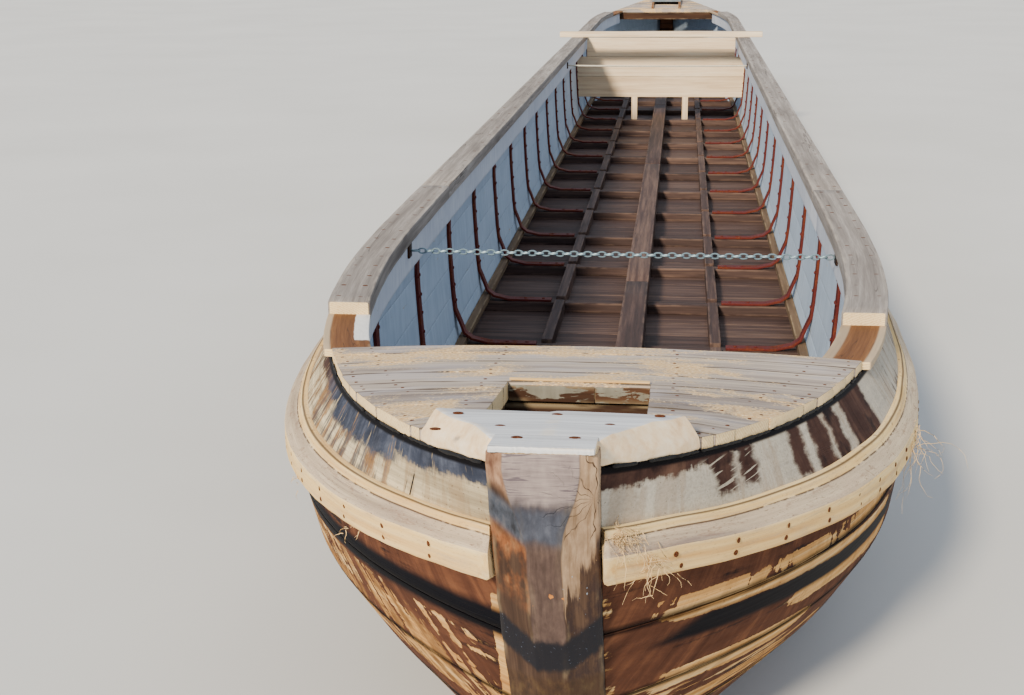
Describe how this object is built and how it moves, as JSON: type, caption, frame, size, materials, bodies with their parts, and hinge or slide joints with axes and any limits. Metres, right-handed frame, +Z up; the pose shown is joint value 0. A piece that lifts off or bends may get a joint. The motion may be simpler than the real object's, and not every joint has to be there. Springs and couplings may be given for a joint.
{
  "type": "narrowboat",
  "caption": "Wooden working narrowboat under restoration: open hold between short end decks, iron knees, tarred plank sides, pale guards and a hung rudder with a tiller.",
  "frame": {"origin": "centre of the bounding box on the ground, under the flat bottom", "axes": "+Y runs aft from bow to stern, so the bow faces -Y; +X is to the right of someone looking aft; +Z is up"},
  "size_m": [2.3, 21.88, 1.81],
  "materials": {
    "tarred_wood": "tarred, brush streaked",
    "weathered_wood": "weathered, dry",
    "fresh_wood": "new bare timber",
    "deck_wood": "grey, sawdust covered",
    "painted_wood": "old flat paint",
    "red_iron": "red oxide",
    "dark_iron": "rusty, dark",
    "dark_timber": "dark, oily",
    "white_rope": "laid rope"
  },
  "bodies": {
    "hull": {"bottom_boards": "tarred_wood", "bow_chain": "dark_iron", "cross_beam": "fresh_wood", "floor_frames": "dark_timber", "fore_deck": "deck_wood", "fore_deck_beams": "weathered_wood", "fore_deck_block": "fresh_wood", "hatch_board": "painted_wood", "hold_bulkhead": "fresh_wood", "left_bow_cap": "weathered_wood", "left_bow_guard": "fresh_wood", "left_bow_inwale": "painted_wood", "left_bow_knees": "red_iron", "left_bow_undercap": "weathered_wood", "left_mid_cap": "weathered_wood", "left_mid_inwale": "painted_wood", "left_mid_knees": "red_iron", "left_stern_cap": "weathered_wood", "left_stern_guard": "fresh_wood", "left_stern_inwale": "painted_wood", "left_stern_knees": "red_iron", "left_stern_undercap": "weathered_wood", "left_strake_1": "tarred_wood", "left_strake_2": "tarred_wood", "left_strake_3": "tarred_wood", "left_strake_4": "tarred_wood", "left_strake_5": "tarred_wood", "left_strake_6": "tarred_wood", "mid_rope": "white_rope", "right_bow_cap": "weathered_wood", "right_bow_guard": "fresh_wood", "right_bow_inwale": "painted_wood", "right_bow_knees": "red_iron", "right_bow_undercap": "weathered_wood", "right_mid_cap": "weathered_wood", "right_mid_inwale": "painted_wood", "right_mid_knees": "red_iron", "right_stern_cap": "weathered_wood", "right_stern_guard": "fresh_wood", "right_stern_inwale": "painted_wood", "right_stern_knees": "red_iron", "right_stern_undercap": "weathered_wood", "right_strake_1": "tarred_wood", "right_strake_2": "tarred_wood", "right_strake_3": "tarred_wood", "right_strake_4": "tarred_wood", "right_strake_5": "tarred_wood", "right_strake_6": "tarred_wood", "stem_post": "tarred_wood", "stern_deck": "deck_wood", "stern_deck_beams": "weathered_wood", "stern_deck_block": "fresh_wood", "stern_post": "tarred_wood"},
    "rudder": {"rudder": "tarred_wood", "tiller": "weathered_wood"},
    "stern_hatch": {"stern_hatch_lid": "painted_wood"}
  },
  "joints": [
    {"name": "rudder_hinge", "type": "hinge", "parent": "hull", "child": "rudder", "pos_m": [0, 10.203, 0.0603], "axis": [0, 0, 1], "range_deg": [-60, 60]},
    {"name": "stern_hatch_slide", "type": "slide", "parent": "hull", "child": "stern_hatch", "axis": [0, -0.9942, -0.1078], "range_m": [0, 0.36]}
  ]
}
